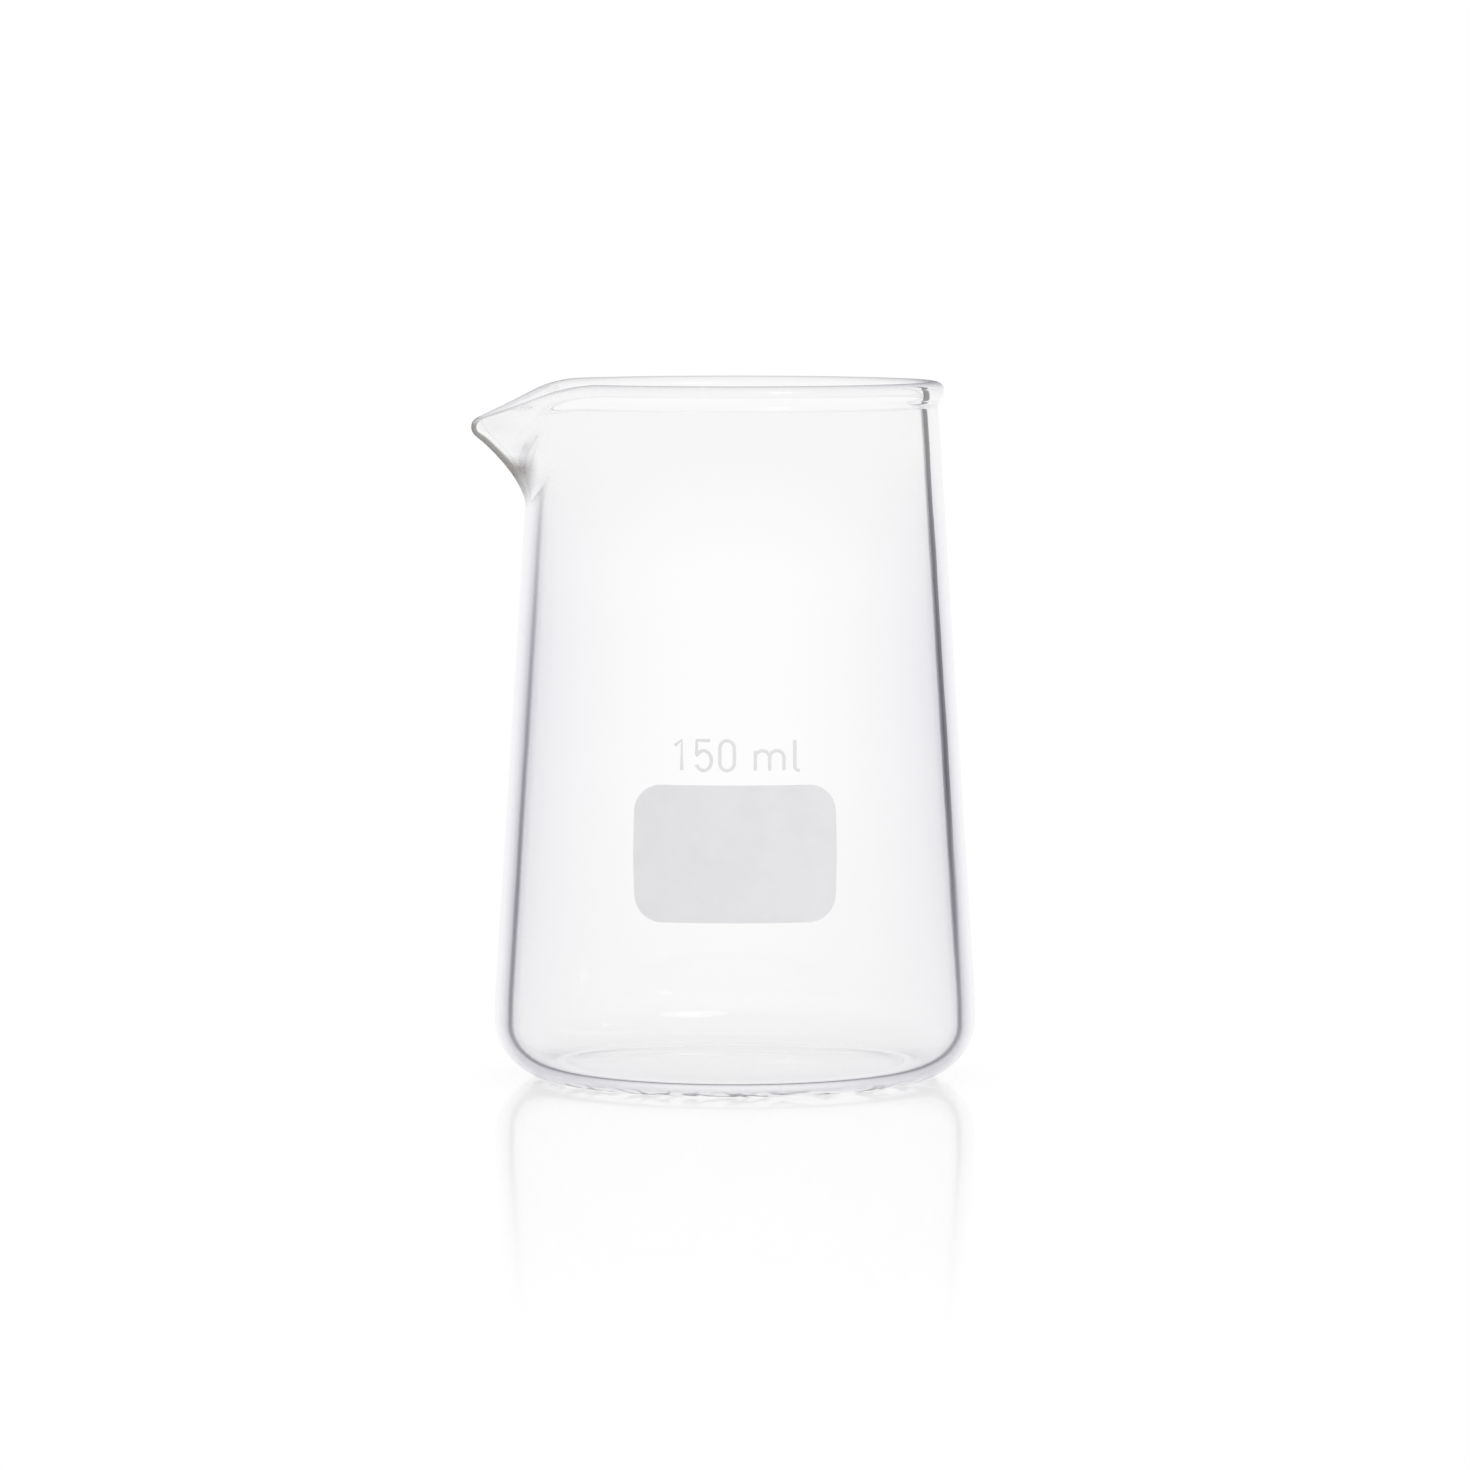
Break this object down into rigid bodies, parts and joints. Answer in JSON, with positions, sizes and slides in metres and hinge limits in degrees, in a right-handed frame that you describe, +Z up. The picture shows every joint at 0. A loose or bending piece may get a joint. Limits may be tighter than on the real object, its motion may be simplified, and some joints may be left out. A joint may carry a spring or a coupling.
{
  "type": "conical beaker",
  "caption": "Clear glass laboratory beaker that narrows upwards, with a beaded rim, a pouring spout, a rounded heel and a white writing field.",
  "frame": {"origin": "on the beaker's axis, in the plane of the ring that it stands on", "axes": "+Z up along the beaker's axis; the spout points to -X, its tip turned 6 degrees towards -Y; the writing field faces -Y"},
  "size_m": [0.0622, 0.0594, 0.086],
  "materials": {
    "glass": "clear, fire-polished",
    "enamel": "white fired enamel, satin"
  },
  "bodies": {
    "root": {"beaker": "glass", "label_field": "enamel"}
  },
  "joints": []
}
